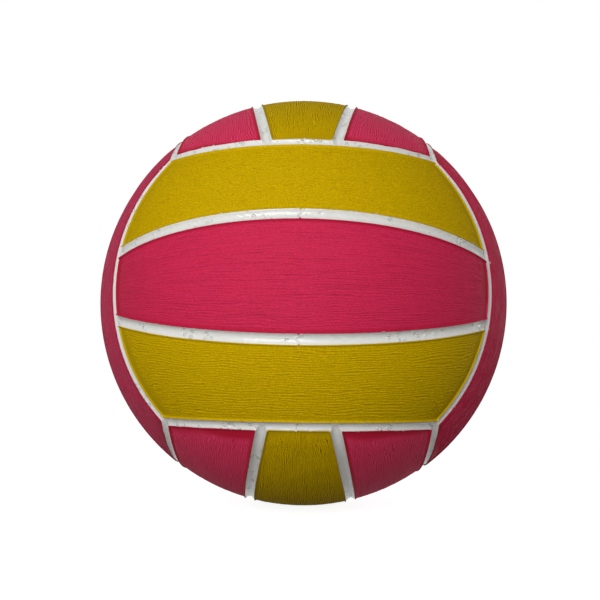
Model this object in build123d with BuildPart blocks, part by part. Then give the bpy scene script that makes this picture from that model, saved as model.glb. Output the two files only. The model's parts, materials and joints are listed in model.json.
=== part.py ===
"""Water polo ball: a butyl bladder with its push-in valve, a nylon winding, a white
rubber web with the channels, and eighteen grip panels bonded into the web's pockets.

Millimetres and degrees. The origin is the ball's centre, +Z is up, the front faces -Y,
and the valve points along +Y.
"""

import os
from math import acos, asin, cos, degrees, radians, sin, sqrt

from build123d import *

# Layers, from the outside in
BALL_DIAMETER = 210.0
PANEL_THICKNESS = 1.3
WEB_THICKNESS = 0.5
WINDING_THICKNESS = 0.5
BLADDER_THICKNESS = 0.7
BOND_GAP = 0.1

# Channels between the panels
CHANNEL_WIDTH = 4.4
CHANNEL_FLOOR_RISE = 0.2
PANEL_EDGE_RADIUS = 0.6
MIDDLE_PANEL_ANGLE = 28.0

# Valve
PLUG_HEAD_DIAMETER = 9.0
PLUG_HEAD_RECESS = 0.3
PLUG_TOP_DIAMETER = 6.6
PLUG_TIP_DIAMETER = 5.6
PLUG_BODY_LENGTH = 13.0
PLUG_CLEARANCE = 0.05
NEEDLE_BORE_DIAMETER = 2.4
NEEDLE_BORE_DEPTH = 10.0
NEEDLE_DIMPLE_DIAMETER = 4.4
NEEDLE_DIMPLE_DEPTH = 0.8
SEAT_STEM_DIAMETER = 11.0
SEAT_STEM_OVERHANG = 1.5
SEAT_FLANGE_DIAMETER = 30.0
SEAT_FLANGE_THICKNESS = 1.0

# Radii of the layers
ball_radius = BALL_DIAMETER / 2
panel_inner = ball_radius - PANEL_THICKNESS
web_outer = panel_inner - BOND_GAP
web_inner = web_outer - WEB_THICKNESS
winding_outer = web_inner - BOND_GAP
winding_inner = winding_outer - WINDING_THICKNESS
bladder_outer = winding_inner - BOND_GAP
bladder_inner = bladder_outer - BLADDER_THICKNESS
flange_outer = bladder_inner - BOND_GAP
flange_inner = flange_outer - SEAT_FLANGE_THICKNESS

# The web's lips stand up to where the panels' rounded edges begin. Between two lips the
# gutter's section is one arc, which just clears the floor of the pockets.
edge_radius = min(PANEL_EDGE_RADIUS, PANEL_THICKNESS / 2)
lip_radius = ball_radius - edge_radius
floor_radius = web_outer + CHANNEL_FLOOR_RISE
gutter_sag = lip_radius - floor_radius
gutter_radius = (CHANNEL_WIDTH**2 / 4 + gutter_sag**2) / (2 * gutter_sag)
gutter_centre = floor_radius + gutter_radius

# Three edge seams meet where a cube's corner would be, so an edge seam lies this far
# above the middle of its face, and an end seam the rest of a right angle along it.
edge_seam_angle = degrees(asin(1 / sqrt(3)))
end_seam_angle = 90 - edge_seam_angle
corner_angle = 45
inner_seam_angle = MIDDLE_PANEL_ANGLE / 2
inner_seam_reach = degrees(acos(cos(radians(end_seam_angle)) / cos(radians(inner_seam_angle))))

# Each face: which way it looks, which way its panels run, and its side panels' names,
# the first on the side of normal x run.
FACES = {
    "front": ((0, -1, 0), (1, 0, 0), ("upper", "lower")),
    "back": ((0, 1, 0), (-1, 0, 0), ("upper", "lower")),
    "right": ((1, 0, 0), (0, 0, 1), ("front", "rear")),
    "left": ((-1, 0, 0), (0, 0, -1), ("front", "rear")),
    "top": ((0, 0, 1), (0, 1, 0), ("left", "right")),
    "bottom": ((0, 0, -1), (0, -1, 0), ("left", "right")),
}
VALVE_FACE = "back"


def face_plane(face, turned=False):
    """The face's own plane: X along its panels, Y across them, Z outwards. Turned, it
    is half a turn round, so that what lay on the first side lies on the second."""
    normal, run, _ = FACES[face]
    along = -Vector(*run) if turned else Vector(*run)
    return Plane(origin=(0, 0, 0), x_dir=along, z_dir=normal)


def seam_plane(side, margin):
    """Plane parallel to an inner seam in the face's own frame, moved off it by margin
    towards the face's edge on that side, which is +1 or -1."""
    tilt = radians(inner_seam_angle)
    normal = Vector(0, side * cos(tilt), -sin(tilt))
    return Plane(origin=normal * margin, z_dir=normal)


def face_block(inner_radius, outer_radius, margin):
    """One whole face as a thick spherical patch in its own frame, held back by margin
    from the seam lines around it. All its walls point at the ball's centre."""
    half_width = edge_seam_angle - degrees(margin / ball_radius)
    half_length = end_seam_angle - degrees(margin / ball_radius)
    half_sweep = end_seam_angle + edge_seam_angle / 2
    with BuildPart() as block:
        with BuildSketch(Plane.YZ.rotated((0, -half_sweep, 0))):
            with BuildLine():
                outer = CenterArc((0, 0), outer_radius, 90 - half_width, 2 * half_width)
                inner = CenterArc((0, 0), inner_radius, 90 - half_width, 2 * half_width)
                Line(outer @ 0, inner @ 0)
                Line(outer @ 1, inner @ 1)
            make_face()
        revolve(axis=Axis.Y, revolution_arc=2 * half_sweep)
        with BuildSketch(Plane.YZ):
            with BuildLine():
                reach = CenterArc((0, 0), 2 * outer_radius, 90 - half_length, half_length)
                Line(reach @ 0, (0, 0))
                Line(reach @ 1, (0, 0))
            make_face()
        revolve(axis=Axis.Z, mode=Mode.INTERSECT)
    return block.part


def middle_block(inner_radius, outer_radius, margin):
    """The strip of a face between its two inner seams."""
    whole_face = face_block(inner_radius, outer_radius, margin)
    with BuildPart() as block:
        add(whole_face)
        split(bisect_by=seam_plane(1, -margin), keep=Keep.BOTTOM)
        split(bisect_by=seam_plane(-1, -margin), keep=Keep.BOTTOM)
    return block.part


def side_block(inner_radius, outer_radius, margin):
    """The strip of a face between its first inner seam and the edge beyond it."""
    whole_face = face_block(inner_radius, outer_radius, margin)
    with BuildPart() as block:
        add(whole_face)
        split(bisect_by=seam_plane(1, margin), keep=Keep.TOP)
    return block.part


def soft_edged(block):
    """A panel's block with its four outer edges rounded."""
    with BuildPart() as panel:
        add(block)
        rim = panel.edges().filter_by(lambda edge: (edge @ 0.5).length > lip_radius)
        fillet(rim, radius=edge_radius)
    return panel.part


def gutter(tilt_angle, lift_angle, half_sweep):
    """Tool that hollows a channel in a face's own frame. The channel's round is tipped
    about X by tilt_angle, lies lift_angle above that round's own middle plane, and runs
    half_sweep to each side of the face's middle, less a hair so that no ends meet."""
    tilt = radians(tilt_angle)
    lift = radians(lift_angle)
    sweep = half_sweep - degrees(BOND_GAP / ball_radius)
    round_axis = Vector(0, cos(tilt), -sin(tilt))
    middle = Vector(0, sin(tilt), cos(tilt))
    start = middle * cos(radians(sweep)) - Vector(1, 0, 0) * sin(radians(sweep))
    section_plane = Plane(origin=(0, 0, 0), x_dir=round_axis, z_dir=round_axis.cross(start))
    with BuildPart() as tool:
        with BuildSketch(section_plane):
            with Locations((gutter_centre * sin(lift), gutter_centre * cos(lift))):
                Circle(gutter_radius)
        revolve(axis=Axis((0, 0, 0), round_axis), revolution_arc=2 * sweep)
    return tool.part


def valve_hole(diameter):
    """Tool that bores through the wall of the ball where the valve is."""
    with BuildPart() as hole:
        with BuildSketch(face_plane(VALVE_FACE)):
            Circle(diameter / 2)
        extrude(amount=BALL_DIAMETER)
    return hole.part


os.makedirs("parts", exist_ok=True)

# Panels: one middle and one side shape, laid out on the six faces
panel_margin = CHANNEL_WIDTH / 2 + BOND_GAP
middle_shape = soft_edged(middle_block(panel_inner, ball_radius, panel_margin))
side_shape = soft_edged(side_block(panel_inner, ball_radius, panel_margin))
head_hole = valve_hole(PLUG_HEAD_DIAMETER + 2 * PLUG_CLEARANCE)

for face, (_, _, side_names) in FACES.items():
    with BuildPart() as middle_panel:
        with Locations(face_plane(face)):
            add(middle_shape)
        if face == VALVE_FACE:
            add(head_hole, mode=Mode.SUBTRACT)
    middle_panel.part.label = f"{face}_middle_panel"
    export_step(middle_panel.part, f"parts/{face}_middle_panel.step")

    for side_name, turned in zip(side_names, (False, True)):
        with BuildPart() as side_panel:
            with Locations(face_plane(face, turned)):
                add(side_shape)
        side_panel.part.label = f"{face}_{side_name}_panel"
        export_step(side_panel.part, f"parts/{face}_{side_name}_panel.step")

# Web: the white rubber layer that carries the panels in its pockets and shows between them
pocket_margin = CHANNEL_WIDTH / 2
pocket_top = ball_radius + BOND_GAP
middle_pocket = middle_block(web_outer, pocket_top, pocket_margin)
side_pocket = side_block(web_outer, pocket_top, pocket_margin)
edge_gutter = gutter(0, edge_seam_angle, corner_angle)
inner_gutter = gutter(inner_seam_angle, 0, inner_seam_reach)
stem_hole = valve_hole(SEAT_STEM_DIAMETER + 2 * BOND_GAP)
middle_places = [face_plane(face) for face in FACES]
side_places = [face_plane(face, turned) for face in FACES for turned in (False, True)]
signs = (-1, 1)
corners = [Vector(x, y, z).normalized() for x in signs for y in signs for z in signs]
dish_centre = gutter_centre - BOND_GAP

with BuildPart() as web:
    Sphere(lip_radius)
    Sphere(web_inner, mode=Mode.SUBTRACT)
    with Locations(*middle_places):
        add(middle_pocket, mode=Mode.SUBTRACT)
    with Locations(*side_places):
        add(side_pocket, mode=Mode.SUBTRACT)
        add(edge_gutter, mode=Mode.SUBTRACT)
        add(inner_gutter, mode=Mode.SUBTRACT)
    with Locations([corner * dish_centre for corner in corners]):
        Sphere(gutter_radius, mode=Mode.SUBTRACT)
    add(stem_hole, mode=Mode.SUBTRACT)
web.part.label = "web"
export_step(web.part, "parts/web.step")

# Nylon winding and bladder
with BuildPart() as winding:
    Sphere(winding_outer)
    Sphere(winding_inner, mode=Mode.SUBTRACT)
    add(stem_hole, mode=Mode.SUBTRACT)
winding.part.label = "nylon_winding"
export_step(winding.part, "parts/nylon_winding.step")

with BuildPart() as bladder:
    Sphere(bladder_outer)
    Sphere(bladder_inner, mode=Mode.SUBTRACT)
    add(stem_hole, mode=Mode.SUBTRACT)
bladder.part.label = "bladder"
export_step(bladder.part, "parts/bladder.step")

# Valve seat: a flange bonded under the bladder and a stem through the layers
stem_radius = SEAT_STEM_DIAMETER / 2
stem_top = sqrt(web_outer**2 - stem_radius**2)
plug_shoulder = stem_top + PLUG_CLEARANCE
plug_tip = plug_shoulder - PLUG_BODY_LENGTH
stem_end = plug_tip - SEAT_STEM_OVERHANG
flange_angle = degrees(asin(SEAT_FLANGE_DIAMETER / 2 / flange_outer))
taper = (PLUG_TOP_DIAMETER - PLUG_TIP_DIAMETER) / 2 / PLUG_BODY_LENGTH
bore_top = PLUG_TOP_DIAMETER / 2 + PLUG_CLEARANCE
bore_end = bore_top - taper * (stem_top - stem_end)

with BuildPart() as seat:
    with BuildSketch(Plane.XY):
        with BuildLine():
            flange_top = CenterArc((0, 0), flange_outer, 90 - flange_angle, flange_angle)
            flange_under = CenterArc((0, 0), flange_inner, 90 - flange_angle, flange_angle)
            Line(flange_top @ 0, flange_under @ 0)
            Line(flange_top @ 1, flange_under @ 1)
        make_face()
        with BuildLine():
            Polyline(
                (0, stem_top),
                (stem_radius, stem_top),
                (stem_radius, stem_end),
                (0, stem_end),
                close=True,
            )
        make_face()
        with BuildLine():
            Polyline(
                (0, stem_top),
                (bore_top, stem_top),
                (bore_end, stem_end),
                (0, stem_end),
                close=True,
            )
        make_face(mode=Mode.SUBTRACT)
    revolve(axis=Axis.Y)
seat.part.label = "valve_seat"
export_step(seat.part, "parts/valve_seat.step")

# Valve plug: a tapered rubber plug with a head, and a blind hole that takes the needle
plug_face = ball_radius - PLUG_HEAD_RECESS
needle_bore_mouth = plug_face - NEEDLE_DIMPLE_DEPTH
needle_bore_end = plug_face - NEEDLE_BORE_DEPTH

with BuildPart() as plug:
    with BuildSketch(Plane.XY):
        with BuildLine():
            Polyline(
                (0, needle_bore_end),
                (NEEDLE_BORE_DIAMETER / 2, needle_bore_end),
                (NEEDLE_BORE_DIAMETER / 2, needle_bore_mouth),
                (NEEDLE_DIMPLE_DIAMETER / 2, plug_face),
                (PLUG_HEAD_DIAMETER / 2, plug_face),
                (PLUG_HEAD_DIAMETER / 2, plug_shoulder),
                (PLUG_TOP_DIAMETER / 2, plug_shoulder),
                (PLUG_TIP_DIAMETER / 2, plug_tip),
                (0, plug_tip),
                close=True,
            )
        make_face()
    revolve(axis=Axis.Y)
plug.part.label = "valve_plug"
export_step(plug.part, "parts/valve_plug.step")

print(f"needle bore: mouth y {needle_bore_mouth:.3f}, end y {needle_bore_end:.3f}")
print(f"plug: face y {plug_face:.3f}, tip y {plug_tip:.3f}")
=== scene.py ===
# %% [markdown]
# # A water polo ball
#
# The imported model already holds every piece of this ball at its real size: eighteen panels, a
# white web, and the bladder and valve inside. This lesson gives those pieces their surfaces.
# We load the model first, as a fixed frame, and read the ball's radius from its box, so that
# every later size is tied to the real one.

# %% Load the frame
import json

import bmesh
import bpy
import numpy as np
from mathutils import Matrix, Vector


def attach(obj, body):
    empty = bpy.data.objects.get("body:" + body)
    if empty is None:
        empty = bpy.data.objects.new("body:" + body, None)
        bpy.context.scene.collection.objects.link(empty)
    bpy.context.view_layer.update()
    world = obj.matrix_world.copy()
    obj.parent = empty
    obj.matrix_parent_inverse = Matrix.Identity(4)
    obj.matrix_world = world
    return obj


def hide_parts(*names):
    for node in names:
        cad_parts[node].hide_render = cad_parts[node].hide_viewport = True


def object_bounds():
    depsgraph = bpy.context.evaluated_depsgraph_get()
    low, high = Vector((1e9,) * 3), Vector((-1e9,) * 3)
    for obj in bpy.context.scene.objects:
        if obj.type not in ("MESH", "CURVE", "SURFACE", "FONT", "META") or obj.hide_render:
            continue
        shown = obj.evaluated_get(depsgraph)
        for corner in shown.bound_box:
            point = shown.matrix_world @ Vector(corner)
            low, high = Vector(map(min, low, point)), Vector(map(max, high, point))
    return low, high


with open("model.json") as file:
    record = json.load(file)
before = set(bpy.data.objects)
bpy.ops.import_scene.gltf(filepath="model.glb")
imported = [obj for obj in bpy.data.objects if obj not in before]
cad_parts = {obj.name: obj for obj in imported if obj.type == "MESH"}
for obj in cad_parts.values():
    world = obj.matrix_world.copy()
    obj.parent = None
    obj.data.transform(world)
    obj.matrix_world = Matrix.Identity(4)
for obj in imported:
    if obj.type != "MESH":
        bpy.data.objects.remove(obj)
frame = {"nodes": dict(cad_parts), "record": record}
cad_box = [list(corner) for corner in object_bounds()]
MM = 0.001
BALL_RADIUS = (cad_box[1][2] - cad_box[0][2]) / 2
RADIUS_MM = BALL_RADIUS / MM
print(f"{len(frame['nodes'])} nodes, ball {2 * RADIUS_MM:.1f} mm across")

# %% [markdown]
# ## The seams
#
# The panels come in six groups of three, one group for each face of a cube. The long edges of
# a group are circles on the ball, and they meet three at a time where the cube's corners would
# be: that puts each of them 1/sqrt(3) of the radius from the middle. The two seams inside a
# group are great circles, 14 degrees either side of its middle. Every seam is therefore the cut
# of a plane through the ball, so a whole panel can be swept by a plane that turns and lifts.

# %% Where the seams lie
# Each face has its outward direction, the direction along its panels, and the places of its
# two outer panels.
FACES = {
    "front": ((0, -1, 0), (1, 0, 0), ("upper", "lower")),
    "back": ((0, 1, 0), (-1, 0, 0), ("upper", "lower")),
    "right": ((1, 0, 0), (0, 0, 1), ("front", "rear")),
    "left": ((-1, 0, 0), (0, 0, -1), ("front", "rear")),
    "top": ((0, 0, 1), (0, 1, 0), ("left", "right")),
    "bottom": ((0, 0, -1), (0, -1, 0), ("left", "right")),
}
EDGE = 1 / np.sqrt(3)
EDGE_ANGLE = np.arcsin(EDGE)
INNER_SEAM = np.radians(14.0)


def face_axes(face, turned=False):
    """Outward, along and across directions of a face. Across is outward x along, so the three
    are right-handed. Turned, along and across change sign."""
    outward, along = np.array(FACES[face][:2], float)
    along = -along if turned else along
    return outward, along, np.cross(outward, along)


def sweep_plane(axes, tilt, lift, end, share):
    """Points on the unit ball where it is cut by planes that turn and lift. For each tilt and
    lift the plane is across*cos(tilt) - outward*sin(tilt) = lift, and it cuts the ball in a
    circle. A point sits at share * (the angle where outward = end) round that circle. Rows
    follow share and columns follow tilt and lift. Gives the points and the angles."""
    circle = np.sqrt(1 - lift**2)
    reach = np.arccos((end + lift * np.sin(tilt)) / (circle * np.cos(tilt)))
    angle = share[:, None] * reach
    on_outward = circle * np.cos(angle) * np.cos(tilt) - lift * np.sin(tilt)
    on_along = circle * np.sin(angle)
    on_across = circle * np.cos(angle) * np.sin(tilt) + lift * np.cos(tilt)
    return np.stack([on_outward, on_along, on_across], -1) @ np.array(axes), angle


def seam_distances(points, axes):
    """Distance in mm, along the ball, from each point to the lines round and inside a face:
    the edge on the +across side, the edge on the -across side, the nearer end, and the two
    inner seams, counted positive towards +across."""
    outward, _, across = axes
    out_share = np.clip(points @ outward, -1, 1)
    side_share = np.clip(points @ across, -1, 1)
    rise = RADIUS_MM * np.arcsin(side_share)
    edge = RADIUS_MM * EDGE_ANGLE
    ends = RADIUS_MM * (np.arccos(EDGE) - np.arccos(out_share))
    level = np.cos(INNER_SEAM) * side_share
    slope = np.sin(INNER_SEAM) * out_share
    upper = RADIUS_MM * np.arcsin(level - slope)
    lower = RADIUS_MM * np.arcsin(level + slope)
    return edge - rise, edge + rise, ends, upper, lower


print("edge seams", round(float(np.degrees(EDGE_ANGLE)), 2), "degrees from a face's middle")

# %% [markdown]
# ## Small helpers
#
# A mesh made from arrays needs three things: points, faces and a name. Attributes are numbers
# kept on the points, which a material can read later, such as how far a point is from its
# panel's edge. Grids could have even steps, but a panel is smooth in the middle and sharp at
# its edges, so the steps are fine only beside a crease.

# %% Mesh helpers


def new_object(name, points, faces, attributes=None):
    """Object at the origin from an (n, 3) array in metres and a list of index arrays, one
    array for each number of corners. Points that no face uses are dropped."""
    used, flat = np.unique(np.concatenate([f.ravel() for f in faces]), return_inverse=True)
    starts = np.cumsum([0] + [f.size for f in faces])
    corners = [flat[a:b].reshape(f.shape).tolist() for f, a, b in zip(faces, starts, starts[1:])]
    mesh = bpy.data.meshes.new(name)
    mesh.from_pydata(points[used].tolist(), [], sum(corners, []))
    mesh.polygons.foreach_set("use_smooth", np.ones(len(mesh.polygons), bool))
    for key, values in (attributes or {}).items():
        kind, field = ("FLOAT", "value") if values.ndim == 1 else ("FLOAT_VECTOR", "vector")
        layer = mesh.attributes.new(key, kind, "POINT")
        layer.data.foreach_set(field, values[used].astype(np.float32).ravel())
    obj = bpy.data.objects.new(name, mesh)
    bpy.context.scene.collection.objects.link(obj)
    return obj


def quads(ids):
    """Faces of a grid of point numbers, facing the side where its rows turn left into its
    columns."""
    return np.stack([ids[:-1, :-1], ids[1:, :-1], ids[1:, 1:], ids[:-1, 1:]], -1).reshape(-1, 4)


def marks(length, fine, pitch, creases):
    """Places in mm from 0 to length: the fine steps on both sides of every crease, and pitch
    apart elsewhere."""
    close = np.concatenate([sign * fine + crease for crease in creases for sign in (-1, 1)])
    far = np.arange(pitch / 2, length, pitch)
    clear = np.abs(far[:, None] - np.array(creases)).min(1) > fine[-1] + pitch / 3
    places = np.unique(np.round(np.concatenate([close, far[clear]]), 4))
    return places[(places >= 0) & (places <= length)]


print("places on a 10 mm line:", marks(10, np.array([0, 0.5, 1]), 3, [0, 10]).tolist())

# %% [markdown]
# Moulded rubber is never quite even, so the ridges wander and fade. The noise for that is the
# plain kind: random heights on a square lattice, blended smoothly from one to the next. Its
# seed is fixed, so every run gives the same ball.

# %% Noise and smooth steps


def noise(x, y, seed):
    """Random heights from 0 to 1 on a unit lattice, blended by 3t^2 - 2t^3 in between."""
    table = np.random.default_rng(seed).random((257, 257))
    column, row = np.floor(x).astype(int), np.floor(y).astype(int)
    u, v = x - column, y - row
    u, v = u * u * (3 - 2 * u), v * v * (3 - 2 * v)
    here, right = table[column % 256, row % 256], table[(column + 1) % 256, row % 256]
    above, beyond = table[column % 256, (row + 1) % 256], table[(column + 1) % 256, (row + 1) % 256]
    return (here * (1 - u) + right * u) * (1 - v) + (above * (1 - u) + beyond * u) * v


def ease(low, high, x):
    """0 below low, 1 above high, and a smooth step between."""
    t = np.clip((x - low) / (high - low), 0, 1)
    return t * t * (3 - 2 * t)


print("a step from 0 to 1:", ease(0, 1, np.linspace(0, 1, 5)).round(2).tolist())

# %% [markdown]
# ## The grip panels
#
# Each panel is a moulded rubber skin 1.3 mm thick. Its field carries fine ridges that run
# along the panel and give a wet hand something to hold. Round the edge the skin is smooth: it
# slopes up to a low rim along the sides, and at the ends it rolls down to a thin lip. A
# displacement modifier could do this, but it needs a dense mesh anyway, so the height is worked
# out straight on the grid. We start with where a panel's edges are, and with the mould line:
# the two halves of the mould met on the plane x = 0, and left a small nub where that plane
# crosses an edge.

# %% A panel's edges, in mm
PANEL_GAP = 2.35
PANEL_THICKNESS = 1.3
MOULD_NUB = 0.5
MOULD_NUB_WIDTH = 0.4
MOULD_NUB_REACH = 1.0


def panel_sides(points, axes, middle):
    """Distance in mm from each point to the two long edges and to the nearer end of a panel."""
    upper_edge, _, ends, upper, lower = seam_distances(points, axes)
    first, second = (lower, -upper) if middle else (upper, upper_edge)
    return first - PANEL_GAP, second - PANEL_GAP, ends - PANEL_GAP


def mould_line(points, width):
    """1 on the plane between the two halves of the mould, falling off as exp(-(x/width)^2)."""
    return np.exp(-((RADIUS_MM * points[..., 0] / width) ** 2))


def with_nubs(points, axes, middle, face):
    """Pushes an edge out by a small nub where the mould line crosses it, less and less with
    the distance from the edge."""
    first, second, ends = panel_sides(points, axes, middle)
    if face in ("front", "back"):
        push = ease(MOULD_NUB_REACH, 0, second) - ease(MOULD_NUB_REACH, 0, first)
        push = push[..., None] * axes[2]
    else:
        push = ease(MOULD_NUB_REACH, 0, ends) * np.sign(points @ axes[1])
        push = push[..., None] * axes[1]
    nub = MOULD_NUB / RADIUS_MM * mould_line(points, MOULD_NUB_WIDTH)
    moved = points + push * nub[..., None]
    return moved / np.linalg.norm(moved, axis=-1, keepdims=True)


centre = panel_sides(np.array([[0.0, -1.0, 0.0]]), face_axes("front"), middle=True)
print("front middle panel reaches", [round(float(d[0]), 1) for d in centre], "mm from its middle")

# %% [markdown]
# Next comes the relief: ridges + rim or lip - roll + mould line. A ridge is a cosine across the
# panel, and a wander that changes its phase bends it. Where the wander is quick the ridges
# break up into pebbles: near the ends, and all over two of the panels. Patches of the field end
# early, so that its border is ragged, and round the valve the skin is plain.

# %% A panel's relief, in mm
SIDE_RIM_HEIGHT = 0.52
SIDE_RIM_WIDTH = 1.1
END_ROLL_DEPTH = 0.5
END_ROLL_WIDTH = 10.0
END_LIP_HEIGHT = 0.72
END_LIP_WIDTH = 0.6
MOULD_LINE_HEIGHT = 0.015
MOULD_LINE_WIDTH = 0.22
RIDGE_HEIGHT = 0.27
RIDGE_PITCH = 1.08
NARROW_PITCH = 0.86
RIDGE_LENGTH = 5.0
FAINTEST_RIDGE = 0.35
PEBBLED = ("front_upper", "back_lower")
PEBBLED_TO, RIDGED_FROM = 4.0, 16.0
PEBBLE_BORDER_STRAY = 30.0
FIELD_BORDER_STRAY = 8.0
END_SMOOTH_FROM, END_SMOOTH_TO = 0.8, 5.0
SIDE_SMOOTH_FROM, SIDE_SMOOTH_TO = 0.8, 1.8
VALVE_FACE = "back"
VALVE_PLAIN_RADIUS = 7.5
# Added to every place on a panel, so that none is negative.
NOISE_SHIFT = 400.0
# Patches of noise, as length and width, and by how many ridges they shift one.
BORDER_PATCH = (26, 17)
LONG_BEND, LONG_SHIFT = (16, 7), 1.5
SHORT_BEND, SHORT_SHIFT = (6, 2), 0.9
PEBBLE_SIZE, LEAST_PEBBLE_SHIFT = (1.6, 1.7), 0.5
# The noise at which a ridge is faintest and at which it is full.
FADED, FULL = 0.2, 0.75


def panel_heights(grid, seed, pitch, pebbled):
    """Height in mm above the ball for each point of a panel. The rim and the lip are smooth
    steps and the roll at the ends is a parabola. The ridges are cos(2 pi (across / pitch +
    wander)), where the wander adds up three noises, in turns. Also gives three shares for the
    materials: field is 0 where the end is smooth, grain goes from -1 in a groove to 1 on a
    ridge, and rim is 1 at the sides."""
    points, sides, ends, along_mm, across_mm = grid

    def patches(size, number):
        """Noise from 0 to 1 in patches of a length and width in mm."""
        length, width = size
        return noise((along_mm + NOISE_SHIFT) / length, (across_mm + NOISE_SHIFT) / width, seed + number)

    off_side = ease(0, SIDE_RIM_WIDTH, sides)
    rim = SIDE_RIM_HEIGHT * (1 - off_side)
    roll = END_ROLL_DEPTH * np.maximum(1 - ends / END_ROLL_WIDTH, 0) ** 2 * off_side
    lip = END_LIP_HEIGHT * (1 - ease(0, END_LIP_WIDTH, ends))
    patch = patches(BORDER_PATCH, 3) - 0.5
    field = ease(END_SMOOTH_FROM, END_SMOOTH_TO, ends + FIELD_BORDER_STRAY * patch)
    from_valve = RADIUS_MM * np.linalg.norm(points - np.array(FACES[VALVE_FACE][0]), axis=-1)
    field = field * ease(VALVE_PLAIN_RADIUS - 1, VALVE_PLAIN_RADIUS + 1, from_valve)
    pebbles = 1 - ease(PEBBLED_TO, RIDGED_FROM, ends + PEBBLE_BORDER_STRAY * patch)
    quick = LEAST_PEBBLE_SHIFT + np.maximum(pebbles, pebbled)
    wander = LONG_SHIFT * patches(LONG_BEND, 1) + SHORT_SHIFT * patches(SHORT_BEND, 2)
    wander = wander + quick * patches(PEBBLE_SIZE, 4)
    fade = ease(FADED, FULL, patches((RIDGE_LENGTH, pitch), 0))
    strength = FAINTEST_RIDGE + (1 - FAINTEST_RIDGE) * fade
    on_field = ease(SIDE_SMOOTH_FROM, SIDE_SMOOTH_TO, sides)
    ridges = np.cos(2 * np.pi * ((across_mm + NOISE_SHIFT) / pitch + wander))
    grain = ridges * strength * field * on_field
    height = RIDGE_HEIGHT / 2 * grain + np.maximum(rim, lip) - roll
    height = height + MOULD_LINE_HEIGHT * mould_line(points, MOULD_LINE_WIDTH)
    return height, {"field": field, "grain": grain, "rim": 1 - on_field}


print(f"ridges {RIDGE_HEIGHT} mm high and {NARROW_PITCH} to {RIDGE_PITCH} mm apart")

# %% [markdown]
# The grid of a panel is swept by a plane that starts at one long edge and stops at the other.
# Rows lie close together at the edges and over the pebbled ends, and columns a fifth of a
# millimetre apart across the ridges. A finer grid everywhere would look no better and would
# make the panel too heavy.

# %% A panel's grid, in mm
ACROSS_PITCH = 0.2
END_PITCH = 0.4
END_REACH = 15.0
MIDDLE_PITCH = 1.6
PEBBLE_PITCH = 0.6
EDGE_STEPS = np.array([0, 0.05, 0.12, 0.2, 0.3, 0.42, 0.58, 0.78, 1.0, 1.25, 1.5, 1.8, 2.1])
LINE_STEPS = np.array([0, 0.1, 0.2, 0.3, 0.42, 0.6, 0.9])


def panel_marks(face, place, width, length):
    """Places across and along a panel, close together at its edges and at the mould line."""
    across_creases = [0, width]
    if face in ("top", "bottom") and place == "middle":
        across_creases.append(width / 2)
    across = marks(width, EDGE_STEPS, ACROSS_PITCH, across_creases)
    end_steps = np.arange(EDGE_STEPS[-1] + END_PITCH, END_REACH, END_PITCH)
    middle_pitch = PEBBLE_PITCH if f"{face}_{place}" in PEBBLED else MIDDLE_PITCH
    along = marks(length, np.concatenate([EDGE_STEPS, end_steps]), middle_pitch, [0, length])
    if face in ("front", "back"):
        along = np.unique(np.concatenate([along, length / 2 + LINE_STEPS, length / 2 - LINE_STEPS]))
    return across, along


def panel_sweep(face, place):
    """Directions of a panel's grid, its distances to the long edges and to the ends, and the
    places along and across it. The plane starts and stops PANEL_GAP inside the seams: tilt
    and lift go evenly from the one to the other."""
    middle = place == "middle"
    axes = face_axes(face, turned=place == FACES[face][2][1])
    gap = PANEL_GAP / RADIUS_MM
    end = np.cos(np.arccos(EDGE) - gap)
    start_tilt, stop_tilt = (-INNER_SEAM, INNER_SEAM) if middle else (INNER_SEAM, 0.0)
    start_lift, stop_lift = np.sin(gap), -np.sin(gap) if middle else np.sin(EDGE_ANGLE - gap)
    half_angle = INNER_SEAM if middle else (EDGE_ANGLE - INNER_SEAM) / 2
    width = 2 * (half_angle * RADIUS_MM - PANEL_GAP)
    length = 2 * RADIUS_MM * np.arccos(end)
    across, along = panel_marks(face, place, width, length)
    tilt = start_tilt + (stop_tilt - start_tilt) * across / width
    lift = start_lift + (stop_lift - start_lift) * across / width
    points, angle = sweep_plane(axes, tilt, lift, end, 2 * along / length - 1)
    first, second, ends = panel_sides(points, axes, middle)
    sides = np.maximum(np.minimum(first, second), 0)
    points = with_nubs(points, axes, middle, face)
    return points, sides, np.maximum(ends, 0), RADIUS_MM * angle, np.broadcast_to(across, angle.shape)


print("front middle panel has", panel_sweep("front", "middle")[0].shape[:2], "rows and columns")

# %% [markdown]
# Now the panels can be made. Each is closed by walls and an underside. Nobody sees the
# underside, so it has only a few wide columns: its first and last rows keep all their points,
# and the walls meet them there. The material later reads the shares from the relief, the
# distance to the edge, and the place along and across the strip.

# %% Make the panels
NARROW_FACES = ("top", "bottom")
UNDERSIDE_COLUMNS = 9
# The strip's third number sets the panels apart, so that no two have the same scored lines.
STRIP_STEP = 7.3


def closed_faces(ids):
    """Faces of a closed panel from the point numbers of its top. The underside's points are
    numbered in the same order after those of the top."""
    under = ids + ids.size
    columns = np.unique(np.linspace(0, ids.shape[1] - 1, UNDERSIDE_COLUMNS).round().astype(int))
    rim = np.concatenate([ids[:, 0], ids[-1, 1:], ids[-2::-1, -1], ids[0, -2::-1]])
    walls = np.stack([rim[:-1], rim[:-1] + ids.size, rim[1:] + ids.size, rim[1:]], -1)
    below = quads(under[1:-1][:, columns])[:, ::-1]
    spans = list(zip(columns, columns[1:]))
    first = [np.r_[under[0, a : b + 1], under[1, [b, a]]][None] for a, b in spans]
    last = [np.r_[under[-1, a : b + 1], under[-2, [b, a]]][None, ::-1] for a, b in spans]
    return [quads(ids), walls, below, *first, *last]


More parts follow.
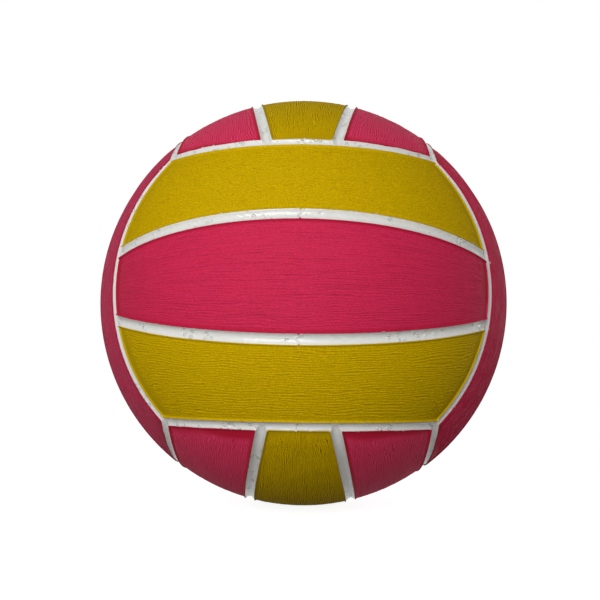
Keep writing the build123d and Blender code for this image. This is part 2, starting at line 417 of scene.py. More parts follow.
def panel_object(name, face, place, seed):
    """A closed panel: direction * (radius + height) on top, and a round underside."""
    grid = panel_sweep(face, place)
    points, sides, ends, along_mm, across_mm = grid
    pitch = NARROW_PITCH if face in NARROW_FACES else RIDGE_PITCH
    height, shares = panel_heights(grid, seed, pitch, f"{face}_{place}" in PEBBLED)
    top = points * (RADIUS_MM + height)[..., None] * MM
    low = points * (RADIUS_MM - PANEL_THICKNESS) * MM
    kept = {"inside": np.minimum(sides, ends), **shares}
    kept = {key: np.tile(values.ravel(), 2) for key, values in kept.items()}
    strip = np.stack([along_mm, across_mm, np.full(height.shape, STRIP_STEP * seed)], -1)
    kept["strip"] = np.tile(strip.reshape(-1, 3), (2, 1))
    skins = np.concatenate([top.reshape(-1, 3), low.reshape(-1, 3)])
    return new_object(name, skins, closed_faces(np.arange(height.size).reshape(height.shape)), kept)


panels = {}
for number, face in enumerate(FACES):
    first_side, second_side = FACES[face][2]
    for offset, place in enumerate((first_side, "middle", second_side)):
        node = f"{face}_{place}_panel"
        panels[node] = panel_object(f"{face}_{place}_grip", face, place, seed=10 * (3 * number + offset))
        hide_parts(node)
        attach(panels[node], "ball")
print(len(panels), "panels,", sum(len(p.data.polygons) for p in panels.values()), "faces")

# %% [markdown]
# ## The white web
#
# Under and between the panels lies one layer of white rubber. What shows of it is the floor of
# the channels: a round gutter along every seam. It could be swept seam by seam, but then the
# pieces would have to be joined where seams meet. Instead the whole layer is one height on the
# ball: near a seam it follows the gutter's arc, and under a panel it drops to the pocket's
# floor. Where the mould closed there is a thin ragged flash.

# %% The web's height, in mm
GUTTER_HALF_WIDTH = 2.35
EDGE_GUTTER_DEPTH = 1.1
INNER_GUTTER_DEPTH = 1.0
EDGE_LIP_DEPTH = -0.08
INNER_LIP_DEPTH = -0.26
SCOOP_DEPTH = 0.5
SCOOP_REACH = 18.0
SCOOP_STEEPNESS = 2.5
SCOOP_SETBACK = 0.8
FLASH_HEIGHT = 0.6
FLASH_HALF_WIDTH = 0.38
FLASH_STRAY = 2.8
FLASH_WAVE = 1.2
FLASH_SHIFT = 300.0
FLASH_SEED = 5
POCKET_DEPTH = PANEL_THICKNESS + 0.1
POCKET_SLOPE = 0.4


def gutter(distance, depth, lip):
    """Depth of a round gutter at a distance from its seam: a parabola from depth in the middle
    to the lips, and level beyond them."""
    across = np.minimum(np.abs(distance) / GUTTER_HALF_WIDTH, 1)
    return lip + (depth - lip) * (1 - across**2)


def web_heights(points, axes):
    """Height of the white layer in mm, negative inwards. Where two gutters meet, the deeper
    one wins. An inner gutter ends in a round scoop in the end seam, so the scoops of the next
    faces also reach into this one along its long edges."""
    edge_up, edge_down, ends, upper, lower = seam_distances(points, axes)
    edges = np.minimum.reduce([edge_up, edge_down, ends])
    past_end = SCOOP_STEEPNESS * np.maximum(SCOOP_SETBACK - ends, 0)
    inner = np.hypot(np.minimum(np.abs(upper), np.abs(lower)), past_end)
    along, across = np.abs(points @ axes[1]), np.abs(points @ axes[2])
    aside = RADIUS_MM * np.arcsin(along * np.cos(INNER_SEAM) - across * np.sin(INNER_SEAM))
    next_door = np.hypot(aside, SCOOP_STEEPNESS * (SCOOP_SETBACK + np.minimum(edge_up, edge_down)))
    inner = np.minimum(inner, next_door)
    inner_depth = INNER_GUTTER_DEPTH + SCOOP_DEPTH * (1 - ease(0, SCOOP_REACH, edges))
    inner_gutter = gutter(inner, inner_depth, INNER_LIP_DEPTH)
    depth = np.maximum(gutter(edges, EDGE_GUTTER_DEPTH, EDGE_LIP_DEPTH), inner_gutter)
    from_seam = np.minimum(edges, inner)
    under_panel = ease(GUTTER_HALF_WIDTH, GUTTER_HALF_WIDTH + POCKET_SLOPE, from_seam)
    round_line = RADIUS_MM * (points[..., 1] + points[..., 2]) / FLASH_WAVE + FLASH_SHIFT
    stray = FLASH_STRAY * (noise(round_line, 0 * edges, FLASH_SEED) - 0.5)
    strayed = points + np.multiply.outer(stray / RADIUS_MM, [1, 0, 0])
    flash = FLASH_HEIGHT * mould_line(strayed, FLASH_HALF_WIDTH)
    return -depth * (1 - under_panel) - POCKET_DEPTH * under_panel + flash


print(f"gutters {2 * GUTTER_HALF_WIDTH} mm wide, pockets {POCKET_DEPTH} mm deep")

# %% [markdown]
# Each face of the web is one grid. A plain cube grid would cut across the seams, so its columns
# are planes again, and its rows and columns stop at the same places on the shared edges. That
# way the six grids close up into one skin.

# %% The web's outside
WEB_PITCH = 4.2
WEB_STEPS = np.array([0, 0.25, 0.5, 0.75, 1.0, 1.25, 1.5, 1.75, 2.05, 2.35, 2.55, 2.9, 3.3])
INNER_TURN = np.arcsin(np.tan(INNER_SEAM) / np.sqrt(2))
TABLE_STEPS = 400


def seam_planes(turn):
    """Tilt and lift of the plane that meets an end seam at each turn round the outward axis,
    from -45 to 45 degrees. Between the inner seams the plane only tilts, by
    tan(tilt) = sqrt(2) sin(turn). Beyond them it rights itself as it lifts to the edge, which
    is read off a table of even steps."""
    step = np.linspace(0, 1, TABLE_STEPS)
    tilt_step = INNER_SEAM * (1 - step)
    climb = EDGE * (step + np.sin(tilt_step)) / np.cos(tilt_step)
    turn_step = np.arcsin(climb / np.sqrt(1 - EDGE**2))
    beyond = np.interp(np.abs(turn), turn_step, step)
    within = np.abs(turn) <= INNER_TURN
    righted = np.sign(turn) * INNER_SEAM * (1 - beyond)
    tilt = np.where(within, np.arctan(np.sqrt(2) * np.sin(turn)), righted)
    lift = np.where(within, 0.0, np.sign(turn) * EDGE * beyond)
    return tilt, lift


def web_skin():
    """The six faces' grids as one array of points and one of faces."""
    arc_radius = RADIUS_MM * np.sqrt(1 - EDGE**2)
    half = arc_radius * np.pi / 4
    places = marks(half, WEB_STEPS, WEB_PITCH, [0, arc_radius * INNER_TURN, half])
    turn = np.concatenate([-places[:0:-1], places]) / arc_radius
    tilt, lift = seam_planes(turn)
    points, faces = [], []
    for face in FACES:
        axes = face_axes(face)
        unit, _ = sweep_plane(axes, tilt, lift, EDGE, turn / (np.pi / 4))
        ids = np.arange(turn.size**2).reshape(turn.size, -1) + len(points) * turn.size**2
        points.append((unit * (RADIUS_MM + web_heights(unit, axes))[..., None] * MM).reshape(-1, 3))
        faces.append(quads(ids))
    return np.concatenate(points), np.concatenate(faces)


outer_points, outer_faces = web_skin()
print(len(outer_faces), "faces on the web's outside")

# %% [markdown]
# The web is a hollow shell, so it also has an inside: a plain round skin, facing inwards. A
# cylinder cut through both skins makes the hole for the valve. A Boolean modifier does such a
# cut cleanly, and it is applied at once, so that the finished piece is a plain mesh.

# %% Helpers for the inside and the holes


def round_skin(radius, rows=48):
    """A round skin facing inwards: a grid of turns about Z, closed by a point at each pole."""
    rise = np.linspace(-np.pi / 2, np.pi / 2, rows + 1)[1:-1]
    turn = np.linspace(0, 2 * np.pi, 2 * rows, endpoint=False)
    ring = np.stack([np.outer(np.cos(rise), np.cos(turn)), np.outer(np.cos(rise), np.sin(turn))], -1)
    level = np.broadcast_to(np.sin(rise)[:, None, None], ring.shape[:2] + (1,))
    ball = np.concatenate([ring, level], -1)
    ids = np.arange(rise.size * turn.size).reshape(rise.size, -1)
    ids = np.concatenate([ids, ids[:, :1]], 1)
    south, north = ids.max() + 1, ids.max() + 2
    caps = [np.stack([ids[0, :-1], ids[0, 1:], np.full(turn.size, south)], -1)]
    caps.append(np.stack([ids[-1, 1:], ids[-1, :-1], np.full(turn.size, north)], -1))
    points = np.concatenate([ball.reshape(-1, 3), [[0, 0, -1], [0, 0, 1]]]) * radius
    return points, [quads(ids)] + caps


def bore(obj, radius, depth, corners=64):
    """Cuts a round hole into a piece along +Y, from outside the ball down to depth."""
    turn = np.linspace(0, 2 * np.pi, corners, endpoint=False)
    disc = np.stack([radius * np.cos(turn), 0 * turn, radius * np.sin(turn)], -1)
    ends = np.concatenate([disc + [0, BALL_RADIUS - depth, 0], disc + [0, BALL_RADIUS + depth, 0]])
    ids = np.arange(2 * corners).reshape(2, corners)
    ids = np.concatenate([ids, ids[:, :1]], 1)
    tool = new_object("drill", ends, [quads(ids), ids[:1, :-1], ids[1:, -2::-1]])
    cut = obj.modifiers.new("valve hole", "BOOLEAN")
    cut.operation, cut.solver, cut.object = "DIFFERENCE", "EXACT", tool
    bpy.context.view_layer.update()
    mesh = bpy.data.meshes.new_from_object(obj.evaluated_get(bpy.context.evaluated_depsgraph_get()))
    obj.modifiers.clear()
    obj.data = mesh
    bpy.data.objects.remove(tool)


WEB_THICKNESS = 0.5
inner_points, inner_faces = round_skin(BALL_RADIUS - (POCKET_DEPTH + WEB_THICKNESS) * MM)
print(len(inner_points), "points on the web's inside")

# %% [markdown]
# Both skins go into one mesh, and the six outer grids are merged where they meet. Counting the
# edges that don't have two faces shows whether the skin is closed. The valve comes out through
# the middle of the back: the hole in the web fits the stem of the valve's seat, and the smaller
# one in the panel fits the head of its plug.

# %% Close the web and bore the valve's holes
WEB_HOLE_RADIUS = 5.6
PANEL_HOLE_RADIUS = 4.55
HOLE_DEPTH = 4.0
MERGE_DISTANCE = 1e-6

web_points = np.concatenate([outer_points, inner_points])
web_faces = [outer_faces] + [faces + len(outer_points) for faces in inner_faces]
web = new_object("channel_web", web_points, web_faces)
merged = bmesh.new()
merged.from_mesh(web.data)
bmesh.ops.remove_doubles(merged, verts=merged.verts, dist=MERGE_DISTANCE)
merged.to_mesh(web.data)
open_edges = sum(len(edge.link_faces) != 2 for edge in merged.edges)
merged.free()
bore(web, WEB_HOLE_RADIUS * MM, HOLE_DEPTH * MM)
bore(panels["back_middle_panel"], PANEL_HOLE_RADIUS * MM, HOLE_DEPTH * MM)
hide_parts("web")
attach(web, "ball")
print("web:", len(web.data.polygons), "faces,", open_edges, "open edges before the bore")

# %% [markdown]
# ## Finishes
#
# Colours are written as they look on a screen and turned linear by one function. One small
# function adds a node, sets it and links it. Patterns are sized in millimetres. In the picture a
# pixel covers half a millimetre of the ball, so a pattern that is finer on the real rubber is
# drawn about that coarse, or it wouldn't show.

# %% Colour and node helpers


def colour(hex_code):
    """Linear RGBA from an sRGB hex code."""
    srgb = np.array([int(hex_code[i : i + 2], 16) for i in (1, 3, 5)]) / 255
    linear = np.where(srgb <= 0.04045, srgb / 12.92, ((srgb + 0.055) / 1.055) ** 2.4)
    return (*linear.tolist(), 1.0)


def add(tree, kind, inputs=None, **settings):
    """Adds a shader node. Settings are its properties; inputs are values or other nodes'
    sockets."""
    node = tree.nodes.new("ShaderNode" + kind)
    for key, value in settings.items():
        setattr(node, key, value)
    for key, value in (inputs or {}).items():
        if isinstance(value, bpy.types.NodeSocket):
            tree.links.new(value, node.inputs[key])
        else:
            node.inputs[key].default_value = value
    return node


def new_material(name):
    """An empty node material, with its tree and its output node's surface socket."""
    material = bpy.data.materials.new(name)
    material.use_nodes = True
    tree = material.node_tree
    tree.nodes.clear()
    return material, tree, add(tree, "OutputMaterial").inputs["Surface"]


def per_metre(size_mm):
    """Scale of a noise texture whose patches are about size_mm across."""
    return 1 / (size_mm * MM)


# A Mix node has sockets of the same names for numbers, vectors and colours. These are the
# places of its factor, its two colours and the colour that comes out.
FACTOR, FIRST, SECOND, MIXED = 0, 6, 7, 2
TINTED = {"data_type": "RGBA"}
MULTIPLIED = {"data_type": "RGBA", "blend_type": "MULTIPLY"}
print("yellow is", [round(c, 3) for c in colour("#C8A500")])

# %% [markdown]
# ### Grip rubber
#
# The panels are coloured natural rubber, moulded against a ridged tool. Rubber is a matt
# dielectric: a soft, wide highlight and a colour that stays deep. Between the ridges it looks
# darker, because less light gets in. The ends are smoother and more saturated. Where the white
# rubber crept over the edge in the mould there are small ragged smears. The ridges themselves
# are in the mesh, so the material only has to colour them and to add what is finer: scored
# lines and grit, as colour and as bump.

# %% Grip rubber: colour
SMEAR_SIZE = 2.6
SMEAR_REACH = 0.7


def grip_colour(tree, place, share, fine, specks, hexes, score_shade, grit):
    """Colour of a grip, as a socket. It goes from groove to ridge by the grain share, to smooth
    where the field share is 0, and to the rim's own colour. Scored lines darken it down to
    score_shade, and specks differ from it by grit."""
    ridge, groove, smooth, rim = (colour(code) for code in hexes)

    # Grooves lie in the shade of the ridges, and scored lines can be darker still.
    crest = add(tree, "MapRange", {"Value": share["grain"], "From Min": -0.8, "From Max": 0.5})
    base = add(tree, "Mix", {FACTOR: crest.outputs["Result"], FIRST: groove, SECOND: ridge}, **TINTED)
    shade = add(tree, "MapRange", {"Value": fine, "From Min": 0.3, "From Max": 0.5, "To Min": score_shade})
    lined = {FACTOR: 1.0, FIRST: base.outputs[MIXED], SECOND: shade.outputs["Result"]}
    toned = add(tree, "Mix", lined, **MULTIPLIED)

    # The ends are plain and deep in colour, and the rim has a colour of its own.
    ended = add(tree, "Mix", {FACTOR: share["field"], FIRST: smooth, SECOND: toned.outputs[MIXED]}, **TINTED)
    rimmed = add(tree, "Mix", {FACTOR: share["rim"], FIRST: ended.outputs[MIXED], SECOND: rim}, **TINTED)

    # Grit gives the field a sandy look.
    contrast = {"From Min": 0.3, "From Max": 0.7, "To Min": 1 - grit, "To Max": 1 + grit}
    speck = add(tree, "MapRange", {"Value": specks, **contrast})
    sanded = {FACTOR: share["field"], FIRST: rimmed.outputs[MIXED], SECOND: speck.outputs["Result"]}
    gritty = add(tree, "Mix", sanded, **MULTIPLIED)

    # White rubber creeps over the edge in ragged smears, at most SMEAR_REACH mm wide.
    ragged = add(tree, "TexNoise", {"Vector": place, "Scale": per_metre(SMEAR_SIZE), "Detail": 4.0})
    widths = {"From Min": 0.67, "From Max": 0.87, "To Max": SMEAR_REACH}
    creep = add(tree, "MapRange", {"Value": ragged.outputs["Fac"], **widths})
    smear = add(tree, "Math", {0: creep.outputs["Result"], 1: share["inside"]}, operation="GREATER_THAN")
    white = {FACTOR: smear.outputs[0], FIRST: gritty.outputs[MIXED], SECOND: colour("#CFD0CC")}
    return add(tree, "Mix", white, **TINTED).outputs[MIXED]


print("smears up to", SMEAR_REACH, "mm wide")

# %% [markdown]
# The lines and the grit also catch the light as bump, only on the field. One shader then takes
# the colour and the bump. It is rough and its shine is low, which makes the rubber look dull
# and dry, and a trace of sheen lightens the pink a little towards the edge of the ball.

# %% Grip rubber: relief and shine
SCORE_WIDTH = 0.6
SCORE_DEPTH = 0.3
GRIT_SIZE = 0.5
GRIT_DEPTH = 0.2


def grip_rubber(name, hexes, shine, sheen, score=(4, 1.0), grit=0.23):
    """Matt ridged rubber. Hexes are the colours of ridge, groove, smooth end and rim. Score is
    the length in mm of the lines along the strip attribute, and the shade in them."""
    material, tree, surface = new_material(name)
    place = add(tree, "TexCoord").outputs["Object"]
    share = {
        key: add(tree, "Attribute", attribute_name=key).outputs["Fac"]
        for key in ("grain", "field", "inside", "rim")
    }
    strip = add(tree, "Attribute", attribute_name="strip").outputs["Vector"]
    score_length, score_shade = score
    stretch = (1 / score_length, 1 / SCORE_WIDTH, 1.0)
    lines = add(tree, "Mapping", {"Vector": strip, "Scale": stretch}).outputs["Vector"]
    fine = add(tree, "TexNoise", {"Vector": lines, "Scale": 1.0, "Detail": 2.0}).outputs["Fac"]
    above = add(tree, "Math", {0: fine, 1: 0.5}, operation="SUBTRACT")
    level = add(tree, "Math", {0: above.outputs[0], 1: share["field"]}, operation="MULTIPLY")
    scored = add(tree, "Bump", {"Height": level.outputs[0], "Strength": 0.6, "Distance": SCORE_DEPTH * MM})

    # Real grit is finer. Here it is as wide as a pixel, so that it shows.
    grains = add(tree, "TexNoise", {"Vector": place, "Scale": per_metre(GRIT_SIZE), "Detail": 2.0})
    specks = grains.outputs["Fac"]
    pit = add(tree, "Math", {0: specks, 1: share["field"]}, operation="MULTIPLY")
    pitted = {"Height": pit.outputs[0], "Strength": 0.7, "Distance": GRIT_DEPTH * MM}
    bump = add(tree, "Bump", {**pitted, "Normal": scored.outputs["Normal"]})
    shader = add(
        tree,
        "BsdfPrincipled",
        {
            "Base Color": grip_colour(tree, place, share, fine, specks, hexes, score_shade, grit),
            "Roughness": 0.75,
            "IOR": 1.52,
            "Specular IOR Level": shine,
            "Sheen Weight": sheen,
            "Normal": bump.outputs["Normal"],
        },
    )
    tree.links.new(shader.outputs[0], surface)
    return material


yellow = grip_rubber("yellow_grip_rubber", ("#C8A500", "#B79700", "#BC9C00", "#C8A500"), 0.04, 0.0)
print(yellow.name, "has", len(yellow.node_tree.nodes), "nodes")

# %% [markdown]
# The same rubber doesn't look the same all round. On the top and the bottom the ridges are
# narrower, the grooves are painted in much deeper shade, and the pink ridges are lighter. On the
# left the pink is painted darker all over, as shade. Everywhere else the pink has long, dark
# scored lines. These are the same finish with other colours, so they are made by the same function.

# %% Finish the panels
pinks = ("#CD274F", "#C02149", "#AE1030", "#B4143A")
pink = grip_rubber("pink_grip_rubber", pinks, 0.13, 0.02, score=(34, 0.83), grit=0.21)
# Painted shade: on the top and the bottom the grooves are painted much darker than the ridges.
shaded_groove_yellows = ("#DEB800", "#786100", "#B49400", "#B49400")
shaded_groove_yellow = grip_rubber("shaded_groove_yellow_grip_rubber", shaded_groove_yellows, 0.04, 0.0)
# Painted shade in the grooves here too, and the pink ridges are lighter.
shaded_groove_pinks = ("#E0365F", "#A91B41", "#AE0A2C", "#AE0A2C")
shaded_groove_pink = grip_rubber("shaded_groove_pink_grip_rubber", shaded_groove_pinks, 0.18, 0.02)
# Painted shade: the pink on the left face is painted darker, as shade.
shaded_side_pinks = ("#B62D4F", "#A62548", "#A01836", "#A01836")
shaded_side_pink = grip_rubber("shaded_side_pink_grip_rubber", shaded_side_pinks, 0.18, 0.02)
grips ={"yellow_rubber": yellow, "pink_rubber": pink}
shaded_groove_grips = {"yellow_rubber": shaded_groove_yellow, "pink_rubber": shaded_groove_pink}
shaded_side_grips = {"yellow_rubber": yellow, "pink_rubber": shaded_side_pink}
by_face = {"top": shaded_groove_grips, "bottom": shaded_groove_grips, "left": shaded_side_grips}
slots = {subpart["node"]: subpart["material_slot"] for subpart in frame["record"]["subparts"]}
for node, panel in panels.items():
    slot = slots[node]
    panel.data.materials.clear()
    panel.data.materials.append(by_face.get(node.split("_")[0], grips)[slot])
print("panels in", ", ".join(sorted({p.data.materials[0].name for p in panels.values()})))

# %% [markdown]
# ### White channel rubber
#
# The channels are smooth white rubber with a glossy skin, so they catch narrow highlights. Up
# close the skin is a little wavy and in places holds trapped bubbles, which show as rings. A
# few dark pits and some dust stay in the channels. All of it is too small and too random to
# model, so it is bump and colour. Low on the ball the white is painted greyer, as shade.

# %% White channel rubber
# Sizes and levels in mm. The ring's height is a share of the wave's depth.
BUBBLE_CELL = 2.4
BUBBLE_CROWD = 22.0
WAVE_SIZE = 3.0
WAVE_DEPTH = 0.45
RING_HEIGHT = 0.8
PIT_CELL = 2.6
DUST_SIZE = 1.3
# Painted shade: between these heights in mm the white turns greyer towards the bottom of the ball.
NO_LOW_SHADE_LEVEL, FULL_LOW_SHADE_LEVEL = -62.0, -74.0
MOST_DUST, MOST_LOW_SHADE = 0.3, 0.45
# Shares of a cell: where a bubble's ring starts, is highest and stops, and the radius of a pit.
RING_START, RING_TOP, RING_STOP = 0.14, 0.27, 0.42
PIT_RADIUS = 0.11
# Every cell has a random grey. Cells above the first have a bubble, above the second a pit.
BUBBLE_GREY, PIT_GREY = 0.42, 0.8


def channel_rubber():
    """Glossy white rubber: wavy by a soft noise, with a raised ring round the middle of some
    cells, where a bubble was trapped, and a dark pit in the middle of some others."""
    material, tree, surface = new_material("white_channel_rubber")
    place = add(tree, "TexCoord").outputs["Object"]

    # A ring is a cell's distance sent through a ramp that rises and falls again.
    cells = add(tree, "TexVoronoi", {"Vector": place, "Scale": per_metre(BUBBLE_CELL)})
    bubbles = add(tree, "ValToRGB", {"Fac": cells.outputs["Distance"]})
    start, stop = bubbles.color_ramp.elements
    start.position, stop.position = RING_START, RING_STOP
    stop.color = (0, 0, 0, 1)
    bubbles.color_ramp.elements.new(RING_TOP).color = (1, 1, 1, 1)
    chosen = add(tree, "Math", {0: cells.outputs["Color"], 1: BUBBLE_GREY}, operation="GREATER_THAN")
    ring = add(tree, "Math", {0: bubbles.outputs["Color"], 1: chosen.outputs[0]}, operation="MULTIPLY")
    spread = add(tree, "TexNoise", {"Vector": place, "Scale": per_metre(BUBBLE_CROWD), "Detail": 0.0})
    crowd = add(tree, "Math", {0: spread.outputs["Fac"], 1: 0.5}, operation="GREATER_THAN")
    ring = add(tree, "Math", {0: ring.outputs[0], 1: crowd.outputs[0]}, operation="MULTIPLY")
    wave = add(tree, "TexNoise", {"Vector": place, "Scale": per_metre(WAVE_SIZE), "Detail": 2.0})
    wavy = {0: ring.outputs[0], 1: RING_HEIGHT, 2: wave.outputs["Fac"]}
    height = add(tree, "Math", wavy, operation="MULTIPLY_ADD")
    bump = add(tree, "Bump", {"Height": height.outputs[0], "Strength": 0.9, "Distance": WAVE_DEPTH * MM})

    # Pits, dust and the painted shade low on the ball each give a share of grey, and the largest one shows.
    spots = add(tree, "TexVoronoi", {"Vector": place, "Scale": per_metre(PIT_CELL)})
    deep = add(tree, "Math", {0: spots.outputs["Distance"], 1: PIT_RADIUS}, operation="LESS_THAN")
    rare = add(tree, "Math", {0: spots.outputs["Color"], 1: PIT_GREY}, operation="GREATER_THAN")
    pit = add(tree, "Math", {0: deep.outputs[0], 1: rare.outputs[0]}, operation="MULTIPLY")
    dust = add(tree, "TexNoise", {"Vector": place, "Scale": per_metre(DUST_SIZE), "Detail": 4.0})
    amounts = {"From Min": 0.62, "From Max": 0.8, "To Max": MOST_DUST}
    dusty = add(tree, "MapRange", {"Value": dust.outputs["Fac"], **amounts})
    # Painted shade: the white is painted greyer towards the bottom of the ball.
    rise = add(tree, "SeparateXYZ", {"Vector": place}).outputs["Z"]
    heights = {"From Min": FULL_LOW_SHADE_LEVEL * MM, "From Max": NO_LOW_SHADE_LEVEL * MM}
    low_shade = add(tree, "MapRange", {"Value": rise, **heights, "To Min": MOST_LOW_SHADE, "To Max": 0.0})
    dirt_and_shade = add(tree, "Math", {0: dusty.outputs["Result"], 1: pit.outputs[0]}, operation="MAXIMUM")
    dirt_and_shade = add(tree, "Math", {0: dirt_and_shade.outputs[0], 1: low_shade.outputs["Result"]}, operation="MAXIMUM")
    clean, dirt_and_shade_grey = colour("#DBDCD8"), colour("#96948A")
    tint = add(tree, "Mix", {FACTOR: dirt_and_shade.outputs[0], FIRST: clean, SECOND: dirt_and_shade_grey}, **TINTED)
    shader = add(
        tree,
        "BsdfPrincipled",
        {
            "Base Color": tint.outputs[MIXED],
            "Roughness": 0.16,
            "IOR": 1.46,
            "Normal": bump.outputs["Normal"],
        },
    )
    tree.links.new(shader.outputs[0], surface)
    return material


white_rubber = channel_rubber()
web.data.materials.clear()
web.data.materials.append(white_rubber)
print("channels in", white_rubber.name)

# %% [markdown]
# ### Valve, bladder and winding
#
# The valve is black rubber, moulded and slightly dusty with talc: dark, with a weak grey bloom
# and hardly any gloss. The bladder is black butyl, and the winding round it is nylon thread in
# cement, pale and dull. Both are hidden, but the pieces are real and keep a finish of their own.
# Their shapes are right already, so the nodes stay and only their material slots are filled.

# %% Black rubber and nylon
BLOOM_SIZE = 4.0
THREAD_SCALE = 6.0
THREAD_DEPTH = 0.2
BLACK_GRIT_DEPTH = 0.05


def black_rubber(name, hex_code, roughness):
    """Satin black rubber with a fine grain and a dusty bloom."""
    material, tree, surface = new_material(name)
    place = add(tree, "TexCoord").outputs["Object"]
    bloom = add(tree, "TexNoise", {"Vector": place, "Scale": per_metre(BLOOM_SIZE), "Detail": 5.0})
    black, dusty = colour(hex_code), colour("#3A3A38")
    tint = add(tree, "Mix", {FACTOR: bloom.outputs["Fac"], FIRST: black, SECOND: dusty}, **TINTED)
    specks = add(tree, "TexNoise", {"Vector": place, "Scale": per_metre(GRIT_SIZE), "Detail": 2.0})
    shallow = {"Strength": 0.3, "Distance": BLACK_GRIT_DEPTH * MM}
    bump = add(tree, "Bump", {"Height": specks.outputs["Fac"], **shallow})
    shader = add(
        tree,
        "BsdfPrincipled",
        {
            "Base Color": tint.outputs[MIXED],
            "Roughness": roughness,
            "IOR": 1.52,
            "Specular IOR Level": 0.2,
            "Normal": bump.outputs["Normal"],
        },
    )
    tree.links.new(shader.outputs[0], surface)
    return material


def nylon_thread():
    """Cemented nylon: bands of thread bent by a noise. They come out about two millimetres
    apart, coarser than the real thread."""
    material, tree, surface = new_material("cemented_nylon_thread")
    place = add(tree, "TexCoord").outputs["Object"]
    wound = {"Vector": place, "Scale": per_metre(THREAD_SCALE), "Distortion": 6.0}
    thread = add(tree, "TexWave", wound, wave_type="BANDS").outputs["Fac"]
    cement, nylon = colour("#A89F88"), colour("#DDD6C4")
    tint = add(tree, "Mix", {FACTOR: thread, FIRST: cement, SECOND: nylon}, **TINTED)
    bump = add(tree, "Bump", {"Height": thread, "Strength": 0.4, "Distance": THREAD_DEPTH * MM})
    shader = add(
        tree,
        "BsdfPrincipled",
        {"Base Color": tint.outputs[MIXED], "Roughness": 0.7, "Normal": bump.outputs["Normal"]},
    )
    tree.links.new(shader.outputs[0], surface)
    return material


butyl = black_rubber("butyl_rubber", "#141414", 0.5)
inner_finish = {"nylon_winding": nylon_thread(), "bladder": butyl, "valve_seat": butyl}
inner_finish["valve_plug"] = black_rubber("moulded_valve_rubber", "#1C1C1B", 0.55)
for node, material in inner_finish.items():
    for slot in frame["nodes"][node].material_slots:
        slot.material = material
    print(node, "has", len(frame["nodes"][node].material_slots), "slot in", material.name)

# %% [markdown]
# ## Floor, light and camera
#
# The ball stands on a plain pale floor, level with its lowest ridge. To the camera the floor and
# the world are white, and the floor still shows the ball's soft shadow. A brighter floor would
# also do that, but it would throw light up onto the ball, so the white is only for rays that
# come from the camera or off a shiny surface.

# %% Floor and world
FLOOR_HALF = 4.0
FLOOR_FADE_FROM, FLOOR_FADE_TO = 0.16, 0.32
FILL_LIGHT = 0.11


def seen_directly(tree):
    """1 for rays from the camera, off a glossy surface or through glass, and 0 for others."""
    rays = add(tree, "LightPath")
    seen = add(
        tree,
        "Math",
        {0: rays.outputs["Is Camera Ray"], 1: rays.outputs["Is Glossy Ray"]},
        operation="MAXIMUM",
    )
    seen = add(
        tree,
        "Math",
        {0: seen.outputs[0], 1: rays.outputs["Is Transmission Ray"]},
        operation="MAXIMUM",
    )
    return seen.outputs[0]


def studio_floor():
    """Matt pale floor. What is seen of it directly is lifted to white, with the shadow still on
    it near the ball, and fades to plain white further out."""
    material, tree, surface = new_material("studio_floor")
    pale = add(tree, "BsdfDiffuse", {"Color": colour("#A5A5A5")})
    dim = add(tree, "BsdfDiffuse", {"Color": colour("#808080")})
    glow = add(tree, "Emission", {"Strength": 0.9})
    near = add(tree, "AddShader", {0: pale.outputs[0], 1: glow.outputs[0]})
    far = add(tree, "Emission", {"Strength": 1.0})
    place = add(tree, "TexCoord").outputs["Object"]
    reach = add(tree, "VectorMath", {0: place}, operation="LENGTH")
    fade = add(
        tree,
        "MapRange",
        {"Value": reach.outputs["Value"], "From Min": FLOOR_FADE_FROM, "From Max": FLOOR_FADE_TO},
    )
    lifted = add(tree, "MixShader", {0: fade.outputs["Result"], 1: near.outputs[0], 2: far.outputs[0]})
    mixed = add(tree, "MixShader", {0: seen_directly(tree), 1: dim.outputs[0], 2: lifted.outputs[0]})
    tree.links.new(mixed.outputs[0], surface)
    return material


floor_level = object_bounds()[0][2]
floor_corners = np.array([[-1, -1, 0], [1, -1, 0], [1, 1, 0], [-1, 1, 0]], float) * FLOOR_HALF
floor = new_object("floor", floor_corners + [0, 0, floor_level], [np.array([[0, 1, 2, 3]])])
floor.data.materials.append(studio_floor())

world = bpy.data.worlds.new("studio")
world.use_nodes = True
bpy.context.scene.world = world
sky = world.node_tree
sky.nodes.clear()
fill = add(sky, "Background", {"Color": colour("#FFFFFF"), "Strength": FILL_LIGHT})
white = add(sky, "Background", {"Color": colour("#FFFFFF"), "Strength": 1.0})
both = add(sky, "MixShader", {0: seen_directly(sky), 1: fill.outputs[0], 2: white.outputs[0]})
sky.links.new(both.outputs[0], add(sky, "OutputWorld").inputs["Surface"])
print("floor at", round(floor_level, 5), "m")

# %% [markdown]
# The main light is one large soft panel in front, a little high and to the left. A small lamp
# further left gives the glossy channels their narrow highlights. Three more panels, one at the
# right and two behind, keep the edges and the back from going dark. Area lamps suit this: the
# larger they are for their distance, the softer the shading.

# %% Light
# Azimuth and elevation in degrees, distance and size in metres, and watts.
LAMPS = {
    "key_panel": (-11, 12.6, 0.8, 0.5, 5.15),
    "side_panel": (120, -1, 0.9, 0.4, 1.55),
    "back_left_panel": (-150, 10, 1.0, 0.4, 3.4),
    "back_right_panel": (150, 10, 1.0, 0.4, 3.4),
    "small_lamp": (-46, 22, 1.0, 0.05, 0.1),
}


def direction(azimuth, elevation):
    """Unit vector from the ball: azimuth 0 is towards the front, positive to the right."""
    turn, rise = np.radians([azimuth, elevation])
    return Vector((np.sin(turn) * np.cos(rise), -np.cos(turn) * np.cos(rise), np.sin(rise)))


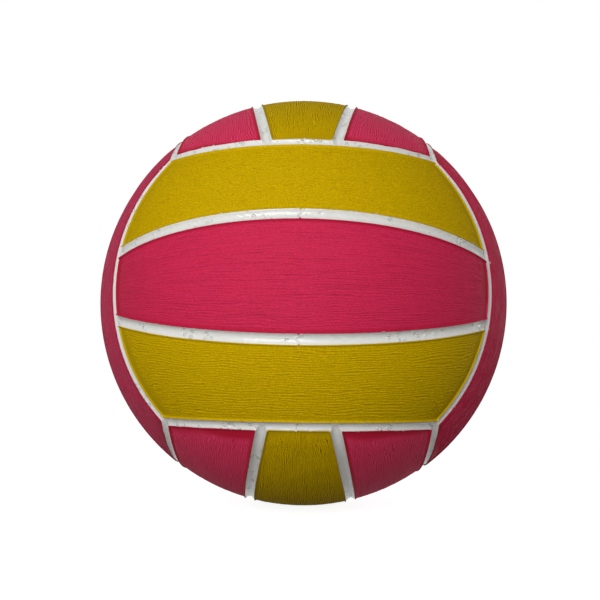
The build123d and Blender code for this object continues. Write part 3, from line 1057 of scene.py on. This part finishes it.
for name, (azimuth, elevation, distance, size, watts) in LAMPS.items():
    lamp = bpy.data.lights.new(name, "AREA")
    lamp.energy, lamp.size = watts, size
    away = direction(azimuth, elevation)
    lamp_object = bpy.data.objects.new(name, lamp)
    facing = away.to_track_quat("Z", "Y").to_matrix().to_4x4()
    lamp_object.matrix_world = Matrix.Translation(away * distance) @ facing
    bpy.context.scene.collection.objects.link(lamp_object)
print(len(LAMPS), "lamps,", sum(lamp[-1] for lamp in LAMPS.values()), "watts")

# %% [markdown]
# The camera stands a little below the ball's middle and looks slightly up, close enough for the
# perspective to show: under four radii away. The ball isn't quite in the middle of the frame. A
# lens shift could do that, but turning the camera by the same few pixels is simpler.

# %% Camera
CAMERA_DISTANCE = 3.733 * BALL_RADIUS
CAMERA_AZIMUTH, CAMERA_ELEVATION, CAMERA_ROLL = 0.92, -6.12, 0.7
FRAME_PIXELS = 600
FOCAL_PIXELS = 727
BALL_CENTRE_PIXEL = (303.3, 302.9)
SENSOR_MM = 36.0

to_camera = direction(CAMERA_AZIMUTH, CAMERA_ELEVATION)
camera_data = bpy.data.cameras.new("camera")
camera_data.sensor_width = SENSOR_MM
camera_data.lens = FOCAL_PIXELS / FRAME_PIXELS * SENSOR_MM
camera = bpy.data.objects.new("camera", camera_data)
bpy.context.scene.collection.objects.link(camera)
facing = to_camera.to_track_quat("Z", "Y").to_matrix()
off_x, off_y = ((pixel - FRAME_PIXELS / 2) / FOCAL_PIXELS for pixel in BALL_CENTRE_PIXEL)
aim = Matrix.Rotation(np.arctan(off_x), 3, "Y") @ Matrix.Rotation(np.arctan(off_y), 3, "X")
turned = facing @ aim @ Matrix.Rotation(np.radians(CAMERA_ROLL), 3, "Z")
camera.matrix_world = Matrix.Translation(to_camera * CAMERA_DISTANCE) @ turned.to_4x4()
bpy.context.scene.camera = camera
bpy.context.scene.view_settings.view_transform = "Standard"
print(f"lens {camera_data.lens:.1f} mm, {CAMERA_DISTANCE / MM:.0f} mm from the ball's centre")
